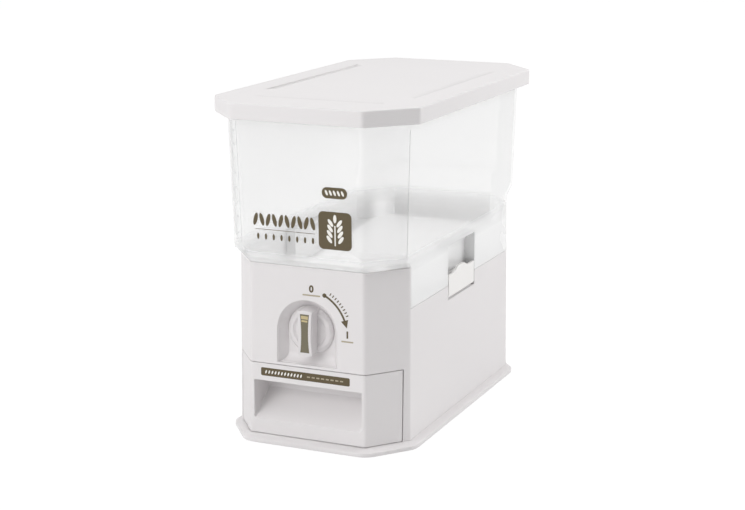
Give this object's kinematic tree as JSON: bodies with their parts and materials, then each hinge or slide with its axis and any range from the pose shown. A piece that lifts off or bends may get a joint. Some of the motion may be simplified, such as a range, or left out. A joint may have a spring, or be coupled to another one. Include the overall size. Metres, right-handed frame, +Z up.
{
  "type": "rice dispenser",
  "caption": "countertop rice dispenser: clear flared hopper with lift-off lid, grey housing with side latches, knob-turned drum gate in an arched recess, and a pull-out drawer below",
  "frame": {"origin": "on the table, under the middle of the lid, which is the middle of the object's box", "axes": "+Z up, the front with the knob and drawer faces -Y, +X is to the right as seen from the front"},
  "size_m": [0.219, 0.4056, 0.3432],
  "materials": {
    "body_plastic": "satin moulded plastic, warm light grey",
    "hopper_clear": "frosted clear moulded plastic",
    "lid_plastic": "satin moulded plastic, warm off-white",
    "latch_plastic": "satin moulded plastic, off-white",
    "knob_plastic": "satin moulded plastic, light grey",
    "inlay_plastic": "brown insert, satin",
    "bin_plastic": "glossy moulded plastic, off-white",
    "valve_plastic": "plain moulded plastic inside the housing",
    "gate_plastic": "plain moulded plastic, self-lubricating",
    "shaft_steel": "drawn steel",
    "screw_steel": "zinc plated",
    "rubber": "soft dark rubber",
    "seal_rubber": "soft translucent silicone"
  },
  "bodies": {
    "base": {"base_plate": "body_plastic", "housing": "body_plastic", "recess_cup": "body_plastic", "shaft_bush": "valve_plastic", "hopper": "hopper_clear", "channel_liner_right": "hopper_clear", "channel_liner_left": "hopper_clear", "outlet_funnel": "hopper_clear", "rim_collar": "hopper_clear", "inner_deck": "valve_plastic", "valve_body": "valve_plastic", "valve_cap": "valve_plastic", "outlet_seal": "seal_rubber", "latch_pin_right": "shaft_steel", "latch_pin_left": "shaft_steel", "base_screws": "screw_steel", "deck_screws": "screw_steel", "valve_screws": "screw_steel", "cap_screws": "screw_steel", "foot_front_left": "rubber", "foot_front_right": "rubber", "foot_rear_left": "rubber", "foot_rear_right": "rubber"},
    "lid": {"lid": "lid_plastic"},
    "drawer": {"drawer_front": "body_plastic", "drawer_bin": "bin_plastic", "drawer_screws": "screw_steel"},
    "knob": {"knob": "knob_plastic", "knob_inlay": "inlay_plastic", "knob_screw": "screw_steel", "gate_shaft": "shaft_steel", "gate_drum": "gate_plastic"},
    "latch_right": {"latch_right": "latch_plastic"},
    "latch_left": {"latch_left": "latch_plastic"}
  },
  "joints": [
    {"name": "lid_lift", "type": "slide", "parent": "base", "child": "lid", "axis": [0, 0, 1], "range_m": [0, 0.12]},
    {"name": "drawer_slide", "type": "slide", "parent": "base", "child": "drawer", "axis": [0, -1, 0], "range_m": [0, 0.15]},
    {"name": "knob_turn", "type": "hinge", "parent": "base", "child": "knob", "pos_m": [0, -0.17, 0.1185], "axis": [0, 1, 0], "range_deg": [0, 90]},
    {"name": "latch_right_swing", "type": "hinge", "parent": "base", "child": "latch_right", "pos_m": [0.0896, -0.001, 0.1312], "axis": [0, 1, 0], "range_deg": [0, 80]},
    {"name": "latch_left_swing", "type": "hinge", "parent": "base", "child": "latch_left", "pos_m": [-0.0896, -0.001, 0.1312], "axis": [0, -1, 0], "range_deg": [0, 80]}
  ]
}
